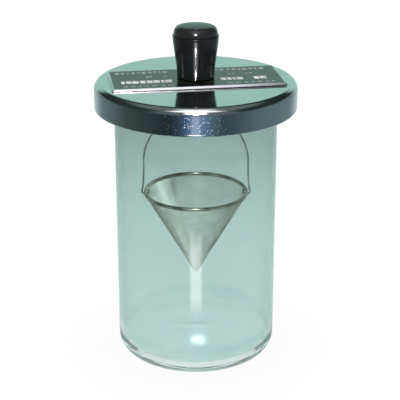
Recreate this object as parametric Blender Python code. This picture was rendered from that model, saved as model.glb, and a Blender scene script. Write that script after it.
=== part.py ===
"""Disinfectant jar: glass jar, chromed lid with knob and plate, wire basket hung from the lid.

Metres, +Z up, front towards -Y.  The base of the jar is at z = 0 on the Z axis.
"""

import math

import bmesh
import bpy
from mathutils import Matrix, Vector

MM = 0.001

# Gap kept between pieces that touch.
GAP = 0.3 * MM

# Glass jar.
JAR_RADIUS = 51.3 * MM
JAR_WALL = 3.2 * MM
JAR_FLOOR = 5.0 * MM
JAR_CORNER = 10.0 * MM
JAR_INNER_CORNER = 8.0 * MM
JAR_PUSH_UP = 1.0 * MM
JAR_FOOT_INNER = 30.0 * MM
JAR_LIP_RADIUS = 59.5 * MM
JAR_LIP_HEIGHT = 4.2 * MM
JAR_LIP_ROUND = 1.2 * MM
JAR_FLARE = 7.0 * MM
JAR_MOUTH_ROUND = 2.4 * MM

# Lid.
LID_TOP = 182.0 * MM
LID_RADIUS = 63.5 * MM
LID_SHEET = 1.1 * MM
LID_EDGE = 4.5 * MM
LID_DEPTH = 17.0 * MM
LID_CURL = 1.2 * MM
STUD_HOLE = 2.4 * MM

# Soft ring between lid and glass.
SEAL_THICK = 2.1 * MM
SEAL_INNER = 49.5 * MM
SEAL_OUTER = 58.0 * MM
SEAL_CHAMFER = 0.4 * MM

# Plate on the lid.
PLATE_LENGTH = 107.5 * MM
PLATE_WIDTH = 43.5 * MM
PLATE_THICK = 1.4 * MM
PLATE_BEVEL = 0.9 * MM
PLATE_TURN = math.radians(8.7)

# Knob.
KNOB_BASE_RADIUS = 11.7 * MM
KNOB_RIM_RADIUS = 14.4 * MM
KNOB_LEDGE = 28.5 * MM
KNOB_POCKET = 9.3 * MM
KNOB_POCKET_DEPTH = 5.0 * MM
CAP_RADIUS = 13.6 * MM
CAP_FACE_RADIUS = 10.4 * MM
CAP_TOP = 34.1 * MM
CAP_DOME = 0.6 * MM
INSERT_RADIUS = 3.5 * MM
INSERT_LENGTH = 13.5 * MM

# Hanger.
THREAD_RADIUS = 2.0 * MM
ROD_RADIUS = 1.5 * MM
THREAD_TOP = 196.0 * MM
THREAD_BOTTOM = 172.5 * MM
HOOK_BOWL = 4.4 * MM
WASHER_RADIUS = 7.0 * MM
STUD_SEAL_THICK = 1.5 * MM
WASHER_THICK = 1.0 * MM
NUT_FLATS = 7.0 * MM
NUT_THICK = 3.2 * MM

# Basket.
RIM_RADIUS = 32.6 * MM
RIM_CENTRE = 108.5 * MM
RIM_HEIGHT = 2.2 * MM
RIM_WIDTH = 2.1 * MM
RIM_SLOT_DEPTH = 1.4 * MM
RIM_INNER_ROUND = 0.2 * MM
RIM_OUTER_ROUND = 0.5 * MM
MESH_RADIUS = 32.4 * MM
MESH_THICK = 0.4 * MM
MESH_TIP = 50.3 * MM

# Bail.
BAIL_WIRE = 0.6 * MM
BAIL_ARCH_RADIUS = 33.5 * MM
BAIL_ARCH_CENTRE = 128.0 * MM
BAIL_EYE = 2.3 * MM
BAIL_EYE_START = 20.0
BAIL_EYE_END = -250.0
EYE_PLAY = 0.4 * MM
EYE_OPENING = 2.0 * MM

# Levels that follow from the sizes above.
LID_UNDER = LID_TOP - LID_SHEET
SEAL_TOP = LID_UNDER - GAP
JAR_HEIGHT = SEAL_TOP - SEAL_THICK - GAP
PLATE_UNDER = LID_TOP + GAP
PLATE_TOP = PLATE_UNDER + PLATE_THICK
KNOB_UNDER = PLATE_TOP + GAP
BAIL_TOP = BAIL_ARCH_CENTRE + BAIL_ARCH_RADIUS
HOOK_CENTRE = BAIL_TOP + HOOK_BOWL - ROD_RADIUS - BAIL_WIRE - GAP

# Facets round a circle.
ROUND_LARGE = 64
ROUND_MEDIUM = 40
ROUND_SMALL = 24
WIRE_SIDES = 8

# Creases sharper than this stay sharp in the shading.
SHARP_ANGLE = math.radians(35.0)

AXIS_LID = Vector((0.0, 0.0, LID_TOP))
AXIS_BAIL = Vector((0.0, 0.0, BAIL_TOP))
AXIS_BASKET = Vector((0.0, 0.0, RIM_CENTRE))


def clear_scene():
    for old in list(bpy.data.objects):
        bpy.data.objects.remove(old, do_unlink=True)


def make_material(name, color, metallic, roughness, transmission=0.0):
    material = bpy.data.materials.new(name)
    material.use_nodes = True
    shader = material.node_tree.nodes["Principled BSDF"]
    shader.inputs["Base Color"].default_value = (*color, 1.0)
    shader.inputs["Metallic"].default_value = metallic
    shader.inputs["Roughness"].default_value = roughness
    shader.inputs["Transmission Weight"].default_value = transmission
    return material


def arc(centre, radius, start, end, steps):
    """Points of a circular arc in a plane, angles in degrees, both ends included."""
    points = []
    for step in range(steps + 1):
        angle = math.radians(start + (end - start) * step / steps)
        points.append((centre[0] + radius * math.cos(angle), centre[1] + radius * math.sin(angle)))
    return points


def bezier(p0, p1, p2, p3, steps):
    """Points of a cubic curve in a plane, both ends included."""
    points = []
    for step in range(steps + 1):
        t = step / steps
        s = 1.0 - t
        weights = (s * s * s, 3.0 * s * s * t, 3.0 * s * t * t, t * t * t)
        corners = (p0, p1, p2, p3)
        points.append(tuple(sum(w * c[axis] for w, c in zip(weights, corners)) for axis in (0, 1)))
    return points


def circle_loop(radius, height, count):
    loop = []
    for index in range(count):
        angle = 2.0 * math.pi * index / count
        loop.append(Vector((radius * math.cos(angle), radius * math.sin(angle), height)))
    return loop


def polygon_loop(corners, height, per_side):
    """A flat closed loop with the same number of points on every side of a polygon."""
    loop = []
    for index, corner in enumerate(corners):
        following = corners[(index + 1) % len(corners)]
        for step in range(per_side):
            t = step / per_side
            x = corner[0] + (following[0] - corner[0]) * t
            y = corner[1] + (following[1] - corner[1]) * t
            loop.append(Vector((x, y, height)))
    return loop


def hole_loop(outline, radius, height):
    """The circle of a given radius, seen in the same directions as the points of an outline."""
    loop = []
    for point in outline:
        scale = radius / math.hypot(point.x, point.y)
        loop.append(Vector((point.x * scale, point.y * scale, height)))
    return loop


def finish(name, mesh_data, material, origin):
    """Store a bmesh as one object whose origin lies on its joint axis."""
    bmesh.ops.recalc_face_normals(mesh_data, faces=mesh_data.faces)
    bmesh.ops.translate(mesh_data, verts=mesh_data.verts, vec=-origin)
    mesh = bpy.data.meshes.new(name)
    mesh_data.to_mesh(mesh)
    mesh_data.free()
    mesh.materials.append(material)
    mesh.shade_smooth()
    mesh.set_sharp_from_angle(angle=SHARP_ANGLE)
    piece = bpy.data.objects.new(name, mesh)
    piece.location = origin
    bpy.context.scene.collection.objects.link(piece)
    return piece


def loft(name, loops, material, origin, ring=False):
    """A closed solid through a row of loops: a ring solid joins last to first, others are capped."""
    mesh_data = bmesh.new()
    rows = [[mesh_data.verts.new(point) for point in loop] for loop in loops]
    pairs = list(zip(rows, rows[1:]))
    if ring:
        pairs.append((rows[-1], rows[0]))
    count = len(rows[0])
    for lower, upper in pairs:
        for index in range(count):
            following = (index + 1) % count
            mesh_data.faces.new((lower[index], lower[following], upper[following], upper[index]))
    if not ring:
        mesh_data.faces.new(list(reversed(rows[0])))
        mesh_data.faces.new(rows[-1])
    return finish(name, mesh_data, material, origin)


def revolve(name, profile, material, origin, count, ring=False):
    """Turn a profile of (radius, height) points round the Z axis."""
    loops = [circle_loop(radius, height, count) for radius, height in profile]
    return loft(name, loops, material, origin, ring)


def sweep(name, path, radii, material, origin, across):
    """A round bar along a path that lies in one plane, whose normal is `across`."""
    loops = []
    for index, point in enumerate(path):
        before = path[max(index - 1, 0)]
        after = path[min(index + 1, len(path) - 1)]
        along = (after - before).normalized()
        side = along.cross(across).normalized()
        loop = []
        for turn in range(WIRE_SIDES):
            angle = 2.0 * math.pi * turn / WIRE_SIDES
            loop.append(point + radii[index] * (math.cos(angle) * side + math.sin(angle) * across))
        loops.append(loop)
    return loft(name, loops, material, origin)


def without_repeats(points):
    """Drop points that repeat the one before, so that joined curves share their ends."""
    kept = [points[0]]
    for point in points[1:]:
        if (Vector(point) - Vector(kept[-1])).length > 0.01 * MM:
            kept.append(point)
    return kept


def build_jar(material):
    inner = JAR_RADIUS - JAR_WALL
    foot = JAR_RADIUS - JAR_CORNER
    inner_foot = inner - JAR_INNER_CORNER
    lip_under = JAR_HEIGHT - JAR_LIP_HEIGHT
    flare_start = lip_under - JAR_FLARE
    lip_in = JAR_LIP_RADIUS - JAR_LIP_ROUND
    profile = [(2.0 * MM, JAR_PUSH_UP), (JAR_FOOT_INNER - 4.0 * MM, JAR_PUSH_UP), (JAR_FOOT_INNER, 0.0)]
    profile += arc((foot, JAR_CORNER), JAR_CORNER, -90.0, 0.0, 5)
    profile += arc((JAR_RADIUS + JAR_FLARE, flare_start), JAR_FLARE, 180.0, 100.0, 4)
    profile += arc((lip_in, lip_under + JAR_LIP_ROUND), JAR_LIP_ROUND, -90.0, 0.0, 2)
    profile += arc((lip_in, JAR_HEIGHT - JAR_LIP_ROUND), JAR_LIP_ROUND, 0.0, 90.0, 2)
    mouth = (inner + JAR_MOUTH_ROUND, JAR_HEIGHT - JAR_MOUTH_ROUND)
    profile += arc(mouth, JAR_MOUTH_ROUND, 90.0, 180.0, 3)
    profile += arc((inner_foot, JAR_FLOOR + JAR_INNER_CORNER), JAR_INNER_CORNER, 0.0, -90.0, 4)
    profile.append((2.0 * MM, JAR_FLOOR))
    return revolve("glass_jar", without_repeats(profile), material, Vector(), ROUND_LARGE)


def build_lid_cover(material):
    corner = (LID_RADIUS - LID_EDGE, LID_TOP - LID_EDGE)
    curl = (LID_RADIUS - LID_CURL, LID_TOP - LID_DEPTH + LID_CURL)
    inside = LID_RADIUS - LID_SHEET
    profile = [(STUD_HOLE, LID_TOP)]
    profile += arc(corner, LID_EDGE, 90.0, 0.0, 5)
    profile += arc(curl, LID_CURL, 0.0, -180.0, 4)
    profile.append((LID_RADIUS - 2.0 * LID_CURL, curl[1] + LID_CURL))
    profile.append((inside, curl[1] + 2.0 * LID_CURL))
    profile += arc(corner, LID_EDGE - LID_SHEET, 0.0, 90.0, 4)
    profile.append((STUD_HOLE, LID_UNDER))
    return revolve("lid_cover", without_repeats(profile), material, AXIS_LID, ROUND_LARGE, ring=True)


def build_lid_seal(material):
    low = SEAL_TOP - SEAL_THICK
    profile = [
        (SEAL_INNER, low + SEAL_CHAMFER),
        (SEAL_INNER + SEAL_CHAMFER, low),
        (SEAL_OUTER - SEAL_CHAMFER, low),
        (SEAL_OUTER, low + SEAL_CHAMFER),
        (SEAL_OUTER, SEAL_TOP),
        (SEAL_INNER, SEAL_TOP),
    ]
    return revolve("lid_seal", profile, material, AXIS_LID, ROUND_LARGE, ring=True)


def rectangle(half_length, half_width, turn):
    """Corners of a turned rectangle, anticlockwise from the front left."""
    corners = []
    for x_sign, y_sign in ((-1, -1), (1, -1), (1, 1), (-1, 1)):
        x = x_sign * half_length
        y = y_sign * half_width
        turned = (x * math.cos(turn) - y * math.sin(turn), x * math.sin(turn) + y * math.cos(turn))
        corners.append(turned)
    return corners


def build_name_plate(material):
    half_length = PLATE_LENGTH / 2.0
    half_width = PLATE_WIDTH / 2.0
    full = rectangle(half_length, half_width, PLATE_TURN)
    inset = rectangle(half_length - PLATE_BEVEL, half_width - PLATE_BEVEL, PLATE_TURN)
    per_side = 6
    under = polygon_loop(full, PLATE_UNDER, per_side)
    edge = polygon_loop(full, PLATE_TOP - PLATE_BEVEL, per_side)
    top = polygon_loop(inset, PLATE_TOP, per_side)
    loops = [hole_loop(under, STUD_HOLE, PLATE_UNDER), under, edge, top, hole_loop(top, STUD_HOLE, PLATE_TOP)]
    return loft("name_plate", loops, material, AXIS_LID, ring=True)


def build_knob_body(material):
    bore = INSERT_RADIUS + GAP
    bore_top = KNOB_UNDER + GAP + INSERT_LENGTH + GAP
    ledge = LID_TOP + KNOB_LEDGE
    pocket_floor = ledge - KNOB_POCKET_DEPTH
    foot_round = 0.6 * MM
    lip_round = 0.3 * MM
    side = bezier(
        (KNOB_BASE_RADIUS, KNOB_UNDER + foot_round),
        (KNOB_BASE_RADIUS, LID_TOP + 10.0 * MM),
        (KNOB_BASE_RADIUS + 1.8 * MM, LID_TOP + 16.5 * MM),
        (KNOB_RIM_RADIUS, ledge - lip_round),
        7,
    )
    profile = [(bore, KNOB_UNDER), (KNOB_BASE_RADIUS - foot_round, KNOB_UNDER)]
    profile += side
    profile += [(KNOB_RIM_RADIUS - lip_round, ledge), (KNOB_POCKET, ledge), (KNOB_POCKET, pocket_floor)]
    profile += [(STUD_HOLE, pocket_floor), (STUD_HOLE, bore_top), (bore, bore_top)]
    return revolve("knob_body", profile, material, AXIS_LID, ROUND_MEDIUM, ring=True)


def build_knob_cap(material):
    low = LID_TOP + KNOB_LEDGE + GAP
    spigot = KNOB_POCKET - GAP
    spigot_end = low - KNOB_POCKET_DEPTH + GAP
    face = LID_TOP + CAP_TOP
    profile = [(1.0 * MM, spigot_end), (spigot, spigot_end), (spigot, low), (CAP_RADIUS, low)]
    profile += bezier(
        (CAP_RADIUS, low + 1.2 * MM),
        (CAP_RADIUS, low + 3.2 * MM),
        (CAP_FACE_RADIUS + 2.0 * MM, face - 0.3 * MM),
        (CAP_FACE_RADIUS, face),
        5,
    )
    profile += [(CAP_FACE_RADIUS * 0.5, face + CAP_DOME * 0.75), (1.0 * MM, face + CAP_DOME)]
    return revolve("knob_cap", profile, material, AXIS_LID, ROUND_MEDIUM)


def build_plain_ring(name, inner, outer, low, high, material, count):
    profile = [(inner, low), (outer, low), (outer, high), (inner, high)]
    return revolve(name, profile, material, AXIS_LID, count, ring=True)


def build_hanger_hook(material):
    across = Vector((1.0, 0.0, 0.0))
    bowl_start = 55.0
    bowl_end = -195.0
    shank_end = HOOK_CENTRE + 7.7 * MM
    lead = 1.7 * MM
    start = math.radians(bowl_start)
    join = (HOOK_BOWL * math.cos(start), HOOK_CENTRE + HOOK_BOWL * math.sin(start))
    before_join = (join[0] - lead * math.sin(start), join[1] + lead * math.cos(start))
    step = 0.3 * MM
    flat = [(0.0, THREAD_TOP), (0.0, THREAD_TOP - step), (0.0, THREAD_BOTTOM), (0.0, THREAD_BOTTOM - step)]
    radii = [THREAD_RADIUS - step, THREAD_RADIUS, THREAD_RADIUS, ROD_RADIUS]
    bends = bezier((0.0, shank_end), (0.0, shank_end - 2.4 * MM), before_join, join, 5)
    bends += arc((0.0, HOOK_CENTRE), HOOK_BOWL, bowl_start, bowl_end, 15)[1:]
    flat += bends
    radii += [ROD_RADIUS] * len(bends)
    tip_angle = math.radians(bowl_end - 6.0)
    flat.append((HOOK_BOWL * math.cos(tip_angle), HOOK_CENTRE + HOOK_BOWL * math.sin(tip_angle)))
    radii.append(ROD_RADIUS * 0.7)
    path = [Vector((0.0, y, z)) for y, z in flat]
    return sweep("hanger_hook", path, radii, material, AXIS_LID, across)


def build_hanger_nut(low, material):
    corner_radius = NUT_FLATS / math.sqrt(3.0)
    corners = []
    for index in range(6):
        angle = math.radians(60.0 * index)
        corners.append((corner_radius * math.cos(angle), corner_radius * math.sin(angle)))
    under = polygon_loop(corners, low, 4)
    top = polygon_loop(corners, low + NUT_THICK, 4)
    loops = [hole_loop(under, STUD_HOLE, low), under, top, hole_loop(top, STUD_HOLE, low + NUT_THICK)]
    return loft("hanger_nut", loops, material, AXIS_LID, ring=True)


def build_hanger_stack(steel, brass, soft):
    """Insert in the knob, then soft washer, washer and nut from the lid downwards."""
    insert_low = KNOB_UNDER + GAP
    insert_bore = THREAD_RADIUS + GAP
    insert_high = insert_low + INSERT_LENGTH
    build_plain_ring("knob_insert", insert_bore, INSERT_RADIUS, insert_low, insert_high, brass, ROUND_SMALL)
    level = LID_UNDER - GAP
    for name, thick, material in (("stud_seal", STUD_SEAL_THICK, soft), ("hanger_washer", WASHER_THICK, steel)):
        build_plain_ring(name, STUD_HOLE, WASHER_RADIUS, level - thick, level, material, ROUND_SMALL)
        level -= thick + GAP
    build_hanger_nut(level - NUT_THICK, steel)


def build_basket_rim(material):
    """A tube-like rim with a slot in its underside for the edge of the mesh."""
    crown = RIM_WIDTH / 2.0
    inner = RIM_RADIUS - crown
    outer = RIM_RADIUS + crown
    low = RIM_CENTRE - RIM_HEIGHT / 2.0
    slot_in = MESH_RADIUS - MESH_THICK / 2.0 - GAP
    slot_out = MESH_RADIUS + MESH_THICK / 2.0 + GAP
    slot_top = low + RIM_SLOT_DEPTH
    profile = [(slot_in, low), (inner + RIM_INNER_ROUND, low), (inner, low + RIM_INNER_ROUND)]
    profile += arc((RIM_RADIUS, low + RIM_HEIGHT - crown), crown, 180.0, 0.0, 6)
    profile += [(outer, low + RIM_OUTER_ROUND), (outer - RIM_OUTER_ROUND, low), (slot_out, low)]
    profile += [(slot_out, slot_top), (slot_in, slot_top)]
    return revolve("basket_rim", profile, material, AXIS_BASKET, ROUND_LARGE, ring=True)


def build_eye_cutter(low, high, half_width):
    """Two blocks that open the mesh under the rim where the eyes of the bail pass through."""
    mesh_data = bmesh.new()
    reach = 4.0 * MM
    for sign in (-1.0, 1.0):
        middle = Vector((sign * RIM_RADIUS, 0.0, (low + high) / 2.0))
        size = Matrix.Diagonal((2.0 * reach, 2.0 * half_width, high - low, 1.0))
        bmesh.ops.create_cube(mesh_data, size=1.0, matrix=Matrix.Translation(middle) @ size)
    mesh = bpy.data.meshes.new("eye_cutter")
    mesh_data.to_mesh(mesh)
    mesh_data.free()
    cutter = bpy.data.objects.new("eye_cutter", mesh)
    bpy.context.scene.collection.objects.link(cutter)
    cutter.hide_render = True
    cutter.display_type = "WIRE"
    return cutter


def build_basket_mesh(material):
    half = MESH_THICK / 2.0
    rim_under = RIM_CENTRE - RIM_HEIGHT / 2.0
    collar_top = rim_under + RIM_SLOT_DEPTH - GAP
    collar_low = rim_under - GAP
    slant = math.atan2(MESH_RADIUS, collar_low - MESH_TIP)
    rise = MESH_THICK / math.sin(slant)
    tip_radius = 0.4 * MM
    profile = [(tip_radius, MESH_TIP), (MESH_RADIUS + half, collar_low), (MESH_RADIUS + half, collar_top)]
    profile += [(MESH_RADIUS - half, collar_top), (MESH_RADIUS - half, collar_low)]
    profile.append((tip_radius, MESH_TIP + rise))
    mesh = revolve("basket_mesh", profile, material, AXIS_BASKET, ROUND_LARGE)
    eye_low = RIM_CENTRE - BAIL_EYE - BAIL_WIRE - EYE_PLAY
    cutter = build_eye_cutter(eye_low, rim_under, EYE_OPENING)
    opening = mesh.modifiers.new("eye_openings", "BOOLEAN")
    opening.operation = "DIFFERENCE"
    opening.solver = "EXACT"
    opening.object = cutter
    return mesh


def build_bail(material):
    """A wire arch whose legs spread a little and end in eyes round the rim."""
    start = math.radians(BAIL_EYE_START)
    centre = (RIM_RADIUS, RIM_CENTRE)
    join = (centre[0] + BAIL_EYE * math.cos(start), centre[1] + BAIL_EYE * math.sin(start))
    lead = 3.0 * MM
    before_join = (join[0] - lead * math.sin(start), join[1] + lead * math.cos(start))
    half = arc((0.0, BAIL_ARCH_CENTRE), BAIL_ARCH_RADIUS, 90.0, 0.0, 14)
    leg_start = (BAIL_ARCH_RADIUS, BAIL_ARCH_CENTRE)
    half += bezier(leg_start, (BAIL_ARCH_RADIUS, BAIL_ARCH_CENTRE - 8.0 * MM), before_join, join, 5)
    half += arc(centre, BAIL_EYE, BAIL_EYE_START, BAIL_EYE_END, 15)
    half = without_repeats(half)
    path = [Vector((-x, 0.0, z)) for x, z in reversed(half)]
    path += [Vector((x, 0.0, z)) for x, z in half[1:]]
    radii = [BAIL_WIRE] * len(path)
    return sweep("bail_handle", path, radii, material, AXIS_BAIL, Vector((0.0, 1.0, 0.0)))


def build():
    clear_scene()
    glass = make_material("clear_glass", (0.86, 0.95, 0.92), 0.0, 0.03, 1.0)
    chrome = make_material("lid_chrome", (0.80, 0.82, 0.82), 1.0, 0.08)
    plate = make_material("plate_dark", (0.05, 0.06, 0.05), 0.3, 0.25)
    black = make_material("knob_black", (0.015, 0.015, 0.017), 0.0, 0.12)
    cap_black = make_material("cap_black", (0.02, 0.02, 0.022), 0.0, 0.16)
    rubber = make_material("seal_rubber", (0.72, 0.74, 0.72), 0.0, 0.55)
    washer_rubber = make_material("washer_rubber", (0.12, 0.12, 0.12), 0.0, 0.7)
    steel = make_material("hanger_steel", (0.62, 0.62, 0.60), 1.0, 0.25)
    brass = make_material("insert_brass", (0.72, 0.56, 0.28), 1.0, 0.3)
    wire = make_material("bail_wire", (0.66, 0.66, 0.63), 1.0, 0.2)
    rim = make_material("rim_steel", (0.68, 0.67, 0.63), 1.0, 0.22)
    mesh = make_material("mesh_steel", (0.56, 0.56, 0.53), 1.0, 0.35)
    build_jar(glass)
    build_lid_cover(chrome)
    build_lid_seal(rubber)
    build_name_plate(plate)
    build_knob_body(black)
    build_knob_cap(cap_black)
    build_hanger_hook(steel)
    build_hanger_stack(steel, brass, washer_rubber)
    build_basket_rim(rim)
    build_basket_mesh(mesh)
    build_bail(wire)


build()
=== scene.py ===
"""Looks of the disinfectant jar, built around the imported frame.

Metres, +Z up, front towards -Y.  Each visible piece stands for one CAD node and rides on its body.
"""

import math

import bpy
import numpy as np
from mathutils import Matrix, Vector


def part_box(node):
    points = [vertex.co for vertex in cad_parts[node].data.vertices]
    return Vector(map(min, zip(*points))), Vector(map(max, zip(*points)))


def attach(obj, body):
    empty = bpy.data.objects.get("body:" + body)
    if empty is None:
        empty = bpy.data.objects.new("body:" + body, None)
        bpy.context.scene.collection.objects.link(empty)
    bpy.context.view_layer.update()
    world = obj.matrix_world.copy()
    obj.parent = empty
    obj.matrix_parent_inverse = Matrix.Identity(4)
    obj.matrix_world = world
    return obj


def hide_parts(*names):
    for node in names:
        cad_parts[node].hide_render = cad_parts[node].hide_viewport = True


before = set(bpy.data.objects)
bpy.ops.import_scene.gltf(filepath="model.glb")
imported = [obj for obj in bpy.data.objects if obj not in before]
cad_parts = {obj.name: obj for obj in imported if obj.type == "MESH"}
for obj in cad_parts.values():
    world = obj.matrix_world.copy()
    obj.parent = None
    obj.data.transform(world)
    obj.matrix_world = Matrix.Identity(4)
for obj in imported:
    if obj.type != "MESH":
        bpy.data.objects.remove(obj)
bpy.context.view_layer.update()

MM = 0.001
DEGREE = math.pi / 180.0


def mm(*lengths):
    """Lengths given in millimetres."""
    return tuple(length * MM for length in lengths)


# Glass jar.
WALL = 3.2 * MM
FLOOR_THICK = 5.0 * MM
FOOT_CORNER = 10.0 * MM
INNER_CORNER = 8.0 * MM
PUSH_UP = 1.0 * MM
FOOT_INNER = 30.0 * MM
LIP_OVERHANG = 8.2 * MM
LIP_HEIGHT = 4.2 * MM
LIP_ROUND = 1.2 * MM
NECK_FLARE = 7.0 * MM
MOUTH_ROUND = 2.4 * MM
POLE = 0.5 * MM

# Tint of the glass: the inner face lies within GLASS_INSIDE of the axis, and has no tint above TINT_FOOT.
GLASS_INSIDE = 49.2 * MM
TINT_FOOT = 12.0 * MM
# Up to this height the tint darkens upwards, as painted shade under the lid.
PAINTED_SHADE_TOP = 180.0 * MM

# Lid and the plate on it.
LID_SHEET = 1.1 * MM
LID_EDGE = 4.5 * MM
LID_CURL = 1.2 * MM
STUD_HOLE = 2.4 * MM
PLATE_LENGTH = 107.5 * MM
PLATE_WIDTH = 43.5 * MM
PLATE_CORNER = 0.9 * MM
PLATE_TURN = math.radians(8.7)
PLATE_BEVEL = 0.9 * MM
PLATE_FOOT = 0.2 * MM
ENAMEL_MARGIN = 1.5 * MM
ENAMEL_PROUD = 0.04 * MM
MARK_PROUD = 0.03 * MM

# Specks on the lid start below SPECK_TOP.  They lie closest within SPECK_CROWD of its middle, and thin out
# to SPECK_THIN.
SPECK_TOP = 178.5 * MM
SPECK_CROWD = 8.0 * MM
SPECK_THIN = 26.0 * MM

# Marks in place of print: each kind has its place across the plate, its width, and the ranges of its
# lengths and gaps; each span is where a row of them starts and ends along the plate.
TOP_MARKS = (14.8 * MM, 4.4 * MM, mm(1.6, 3.0), mm(1.0, 1.5))
FOOT_MARKS = (-15.6 * MM, 2.4 * MM, mm(1.6, 3.6), mm(1.6, 3.0))
SMALL_MARKS = (4.6 * MM, 3.0 * MM, mm(1.4, 2.2), mm(0.5, 0.8))
BOLD_MARKS = (-6.4 * MM, 6.2 * MM, mm(1.8, 4.2), mm(0.4, 0.9))
LONG_SPANS = (mm(-49.0, -13.5), mm(14.0, 48.0))
SMALL_SPANS = (mm(-31.0, -25.0), mm(-19.5, -15.0), mm(21.0, 26.0), mm(32.0, 37.5))
BOLD_SPANS = (mm(-47.0, -13.0), mm(14.5, 31.0), mm(35.5, 46.5))
FOOT_INDENT = 3.0 * MM
MARK_SEED = 7

# Soft ring under the lid.
SEAL_INNER = 49.5 * MM
SEAL_RIBS = mm(52.0, 54.4, 56.4)
SEAL_RIB = 0.35 * MM

# Knob.
KNOB_LEDGE = 28.5 * MM
KNOB_RIM_RADIUS = 14.4 * MM
KNOB_BASE_RADIUS = 11.7 * MM
KNOB_POCKET = 9.3 * MM
CAP_FACE_RADIUS = 10.4 * MM
CAP_DOME = 0.6 * MM
THREAD_BORE = 2.3 * MM

# Hanger.
THREAD_RADIUS = 2.0 * MM
THREAD_DEPTH = 0.3 * MM
THREAD_PITCH = 0.7 * MM
THREAD_BOTTOM = 172.5 * MM
ROD_RADIUS = 1.5 * MM
HOOK_BOWL = 4.4 * MM
HOOK_START = 55.0
HOOK_END = -201.0
HOOK_SHANK = 7.7 * MM
HOOK_TIP = (0.62, 0.86, 0.97)
NUT_FLATS = 7.0 * MM

# Basket and bail.
RIM_WIDTH = 2.1 * MM
RIM_SLOT_DEPTH = 1.4 * MM
RIM_INNER_ROUND = 0.2 * MM
RIM_OUTER_ROUND = 0.5 * MM
RIM_LAP = math.radians(62.0)
MESH_RADIUS = 32.4 * MM
MESH_SLOT = 0.5 * MM
BAIL_WIRE = 0.6 * MM
BAIL_ARCH_RADIUS = 33.5 * MM
BAIL_EYE = 2.3 * MM
BAIL_EYE_START = 20.0
BAIL_EYE_END = -250.0
EYE_PLAY = 0.4 * MM
EYE_OPENING = 2.0 * MM
WEAVE_PITCH = 0.9 * MM
WEAVE_WIRE = 0.10 * MM
WEAVE_CRIMP = 0.09 * MM
WEAVE_LAP = 5.0 * MM
WEAVE_LAP_LIFT = 0.5 * MM
WEAVE_LAP_FADE = 12.0 * MM
WEAVE_SEAM = math.radians(115.0)
WEAVE_TIP_HOLE = 0.25 * MM

# A flat run this long next to a bend keeps the shading of the flat from leaning into the bend.
STRAIGHT = 0.6 * MM

# Facets round a circle.
ROUND_LARGE = 192
ROUND_MEDIUM = 96
ROUND_SMALL = 48
SHARP_ANGLE = math.radians(32.0)

# Camera.
LENS = 108.0
SENSOR = 36.0
CAMERA_PLACE = Vector((2.64, -722.5, 383.9)) * MM
CAMERA_PITCH = math.radians(21.34)

# Lamp for the highlights, and the floor.
LAMP_WIDTH = 0.07
LAMP_HEIGHT = 0.09
LAMP_RADIANCE = 500.0
LAMP_COLOR = (0.97, 0.97, 1.0)
LAMP_AIM = Vector((0.0, 0.0, 0.13))
LAMP_DISTANCE = 1.0
LAMP_RISE = math.radians(24.5)
FLOOR_HALF = 30.0
FLOOR_DROP = 0.5 * MM

# Sky: the light that falls on everything, and the colours that reflections see.
PLAIN = (1.18, 1.18, 1.18)
PLAIN_DIM = (0.30, 0.31, 0.27)
SHADE = (0.016, 0.030, 0.028)
UPPER_SHADE = (0.12, 0.155, 0.15)
FRONT_SHADE = (0.10, 0.13, 0.15)
BACK_WALL = (0.37, 0.60, 0.54)
ZENITH = (0.95, 0.98, 1.05)
GLOW = (1.35, 1.32, 1.45)
STRIP = (6.4, 6.4, 6.6)
STREAK = (0.34, 0.43, 0.60)
HALO = (3.4, 3.5, 4.0)
GLINT = (12.0, 11.5, 12.0)
HALO_IN_GLASS = 0.3

# Colours of the room round the object, by the share of a turn from the back past the left and the front.
ROOM = (
    (0.0, (0.85, 0.90, 0.89)),
    (0.07, (0.45, 0.56, 0.55)),
    (0.14, (0.15, 0.22, 0.225)),
    (0.27, (0.045, 0.07, 0.07)),
    (0.42, (0.018, 0.027, 0.032)),
    (0.445, (0.035, 0.055, 0.08)),
    (0.475, (0.07, 0.13, 0.24)),
    (0.49, (0.12, 0.20, 0.34)),
    (0.525, (0.12, 0.21, 0.34)),
    (0.555, (0.070, 0.125, 0.166)),
    (0.585, (0.036, 0.070, 0.086)),
    (0.62, (0.05, 0.085, 0.10)),
    (0.70, (0.10, 0.15, 0.17)),
    (0.86, (0.15, 0.22, 0.23)),
    (0.93, (0.45, 0.56, 0.55)),
    (1.0, (0.85, 0.90, 0.89)),
)


# ---------------------------------------------------------------- curves


def arc(centre, radius, start, end, steps):
    """Points of a circular arc in a plane, angles in degrees, both ends included."""
    angles = np.radians(np.linspace(start, end, steps + 1))
    return [(centre[0] + radius * math.cos(a), centre[1] + radius * math.sin(a)) for a in angles]


def bezier(p0, p1, p2, p3, steps):
    """Points of a cubic curve in a plane, both ends included."""
    corners = np.array((p0, p1, p2, p3), float)
    points = []
    for t in np.linspace(0.0, 1.0, steps + 1):
        s = 1.0 - t
        weights = np.array((s * s * s, 3.0 * s * s * t, 3.0 * s * t * t, t * t * t))
        points.append(tuple(weights @ corners))
    return points


def without_repeats(points):
    """Drop points that repeat the one before, so that joined curves share their ends."""
    kept = [points[0]]
    for point in points[1:]:
        if math.dist(point, kept[-1]) > 0.005 * MM:
            kept.append(point)
    return kept


# ---------------------------------------------------------------- meshes


def make_object(name, vertices, faces, material):
    mesh = bpy.data.meshes.new(name)
    mesh.from_pydata([tuple(v) for v in vertices], [], faces)
    mesh.materials.append(material)
    mesh.shade_smooth()
    mesh.set_sharp_from_angle(angle=SHARP_ANGLE)
    mesh.update()
    piece = bpy.data.objects.new(name, mesh)
    bpy.context.scene.collection.objects.link(piece)
    return piece


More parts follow.
